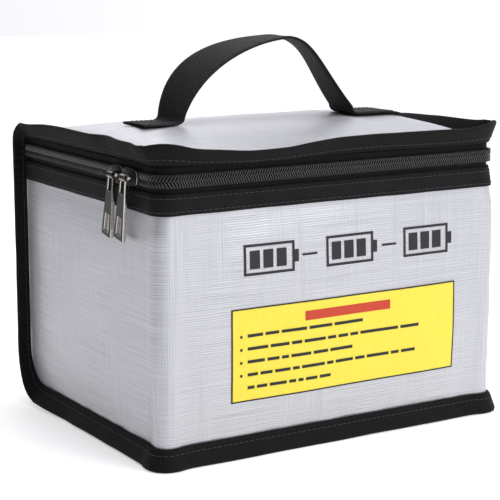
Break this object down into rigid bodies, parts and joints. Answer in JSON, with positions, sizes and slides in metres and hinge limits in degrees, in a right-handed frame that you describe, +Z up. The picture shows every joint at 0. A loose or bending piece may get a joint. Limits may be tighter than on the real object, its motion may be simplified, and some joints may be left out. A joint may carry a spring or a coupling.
{
  "type": "battery storage bag",
  "caption": "Soft box-shaped fire-resistant bag for storing and charging battery packs, with a zipped hinged lid, bound seams and a webbing carry handle.",
  "frame": {"origin": "on the floor, under the middle of the bounding box", "axes": "+X to the right along the front wall, -Y out of the front wall, +Z up"},
  "size_m": [0.2362, 0.1698, 0.2161],
  "materials": {
    "silver_cloth": "silver-coated woven glass cloth",
    "foam": "closed-cell foam sheet",
    "lining_cloth": "silver-coated woven glass cloth, inner face",
    "black_tape": "woven black polyester tape",
    "black_webbing": "woven black polypropylene webbing",
    "zip_coil": "black nylon coil",
    "dark_nickel": "black-nickel plated zinc alloy",
    "label_film": "printed yellow transfer film",
    "thread": "black polyester sewing thread"
  },
  "bodies": {
    "bag_body": {"wall_outer": "silver_cloth", "back_bottom_outer": "silver_cloth", "front_foam": "foam", "back_foam": "foam", "left_foam": "foam", "right_foam": "foam", "bottom_foam": "foam", "wall_lining": "lining_cloth", "back_bottom_lining": "lining_cloth", "body_binding": "black_tape", "lower_band": "black_tape", "zip_tape_lower": "black_tape", "zip_coil_lower": "zip_coil", "front_label": "label_film"},
    "lid": {"lid_outer": "silver_cloth", "lid_foam": "foam", "lid_lining": "lining_cloth", "lid_binding": "black_tape", "zip_tape_upper": "black_tape", "zip_coil_upper": "zip_coil", "handle_foot_left": "black_webbing", "handle_foot_right": "black_webbing", "stitch_box_left": "thread", "stitch_box_right": "thread"},
    "handle": {"handle_arch": "black_webbing"},
    "slider_front": {"slider_front": "dark_nickel"},
    "slider_rear": {"slider_rear": "dark_nickel"},
    "pull_front": {"pull_front": "dark_nickel"},
    "pull_rear": {"pull_rear": "dark_nickel"}
  },
  "joints": [
    {"name": "lid_hinge", "type": "hinge", "parent": "bag_body", "child": "lid", "pos_m": [0, 0.08516, 0.15], "axis": [-1, 0, 0], "range_deg": [0, 180]},
    {"name": "handle_lean", "type": "hinge", "parent": "lid", "child": "handle", "pos_m": [0, 0.00236, 0.1853], "axis": [1, 0, 0], "range_deg": [-60, 60], "stiffness_Nm_per_rad": 0.02},
    {"name": "slider_front_slide", "type": "slide", "parent": "bag_body", "child": "slider_front", "axis": [0, -1, 0], "range_m": [0, 0.0068]},
    {"name": "slider_rear_slide", "type": "slide", "parent": "bag_body", "child": "slider_rear", "axis": [0, 1, 0], "range_m": [0, 0.107]},
    {"name": "pull_front_swing", "type": "hinge", "parent": "slider_front", "child": "pull_front", "pos_m": [-0.1137, -0.05389, 0.15], "axis": [0, 1, 0], "range_deg": [-5, 175]},
    {"name": "pull_rear_swing", "type": "hinge", "parent": "slider_rear", "child": "pull_rear", "pos_m": [-0.1137, -0.03999, 0.15], "axis": [0, 1, 0], "range_deg": [-5, 175]}
  ]
}
